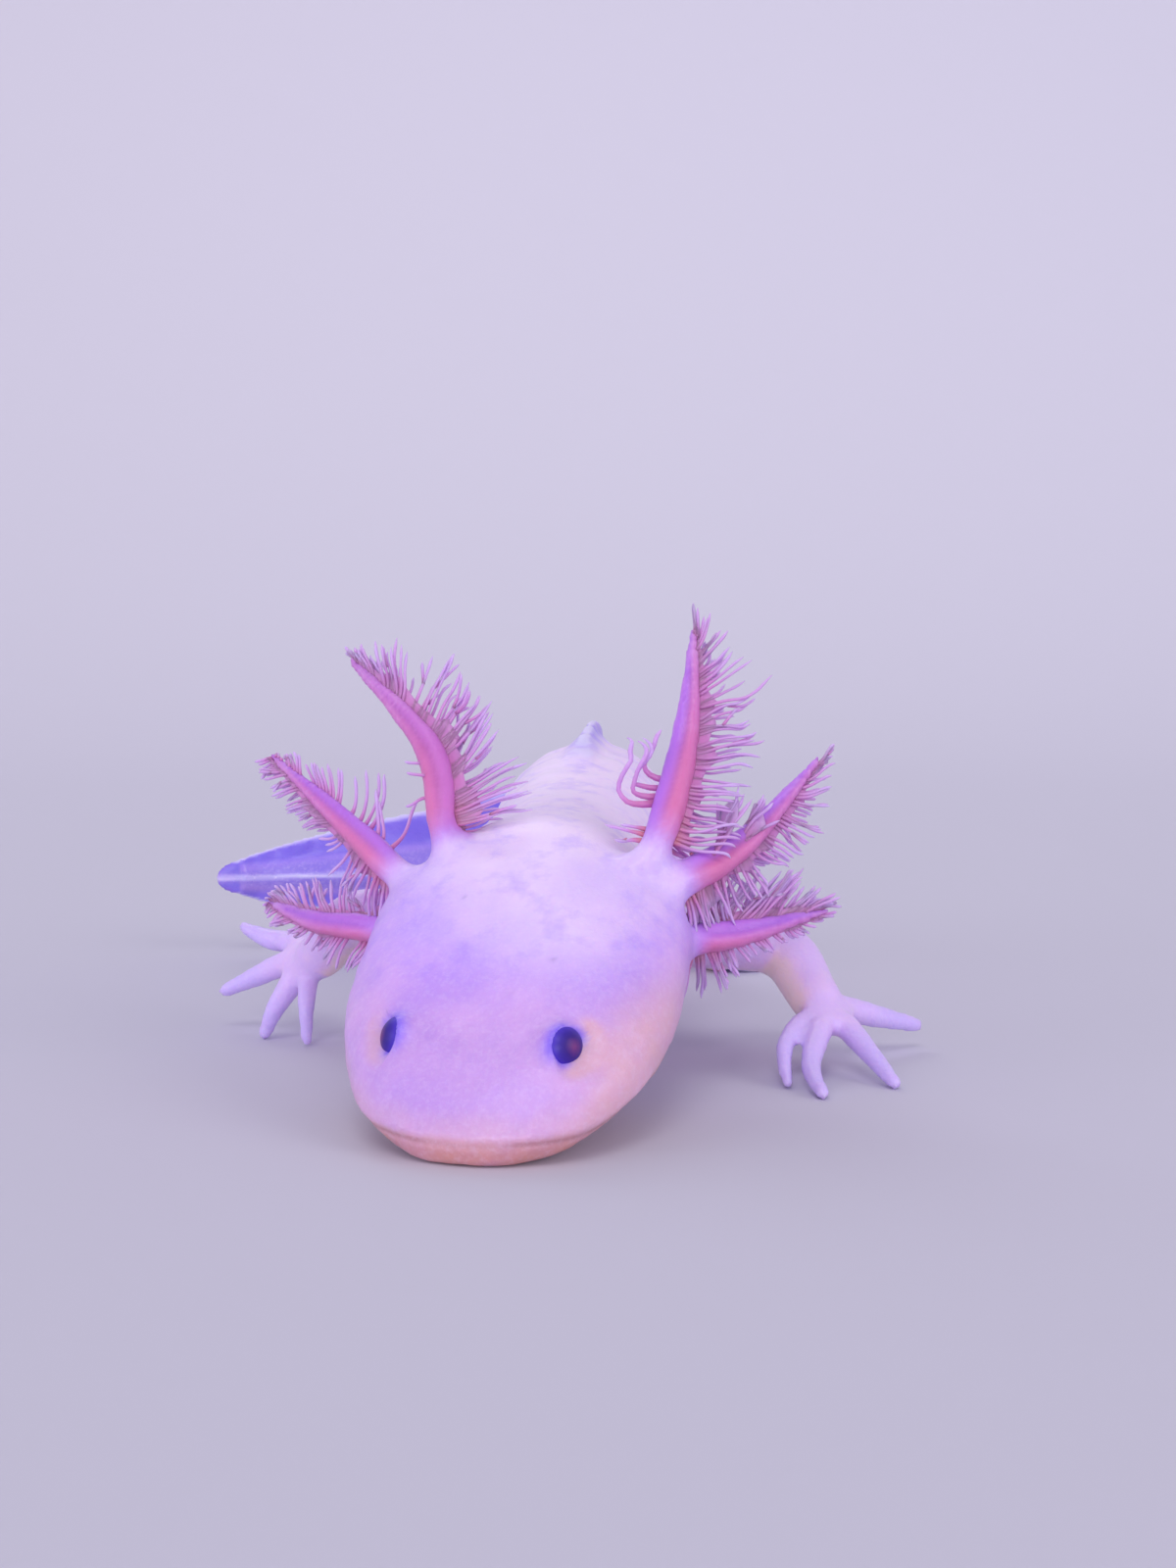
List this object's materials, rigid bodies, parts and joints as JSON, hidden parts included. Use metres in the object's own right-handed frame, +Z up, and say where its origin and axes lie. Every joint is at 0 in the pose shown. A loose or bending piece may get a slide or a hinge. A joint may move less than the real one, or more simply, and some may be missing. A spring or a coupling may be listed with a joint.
{
  "type": "young axolotl, still life-size model",
  "caption": "Pale young axolotl standing with its snout low, three feathery gills flared on each side, fingers spread and tail curled round behind it.",
  "frame": {"origin": "on the floor, under the middle of the whole animal's box", "axes": "+Z up, the animal faces -Y, its own left side is +X and its tail curls round towards -X"},
  "size_m": [0.0646, 0.0792, 0.0323],
  "materials": {
    "skin": "moist, finely granular bare skin, pale lilac-white with violet mottling and a peach flush",
    "limb": "moist thin skin, pale lavender above and peach below",
    "fin": "thin moist translucent skin, blue-violet with a pale rim",
    "gill": "moist soft flesh, pink-magenta stalks and lilac-pink filaments",
    "eye": "wet, very dark navy with a faint reddish centre"
  },
  "bodies": {
    "root": {"head": "skin", "neck": "skin", "trunk_front": "skin", "trunk_rear": "skin", "tail_base": "skin", "tail_middle": "skin", "tail_tip": "skin", "upper_arm_left": "limb", "forearm_left": "limb", "hand_left": "limb", "thigh_left": "limb", "shank_left": "limb", "foot_left": "limb", "upper_arm_right": "limb", "forearm_right": "limb", "hand_right": "limb", "thigh_right": "limb", "shank_right": "limb", "foot_right": "limb", "back_fin": "fin", "tail_fin_upper": "fin", "tail_fin_lower": "fin", "gill_left_top": "gill", "gill_left_middle": "gill", "gill_left_low": "gill", "gill_right_top": "gill", "gill_right_middle": "gill", "gill_right_low": "gill", "eye_left": "eye", "eye_right": "eye"}
  },
  "joints": []
}
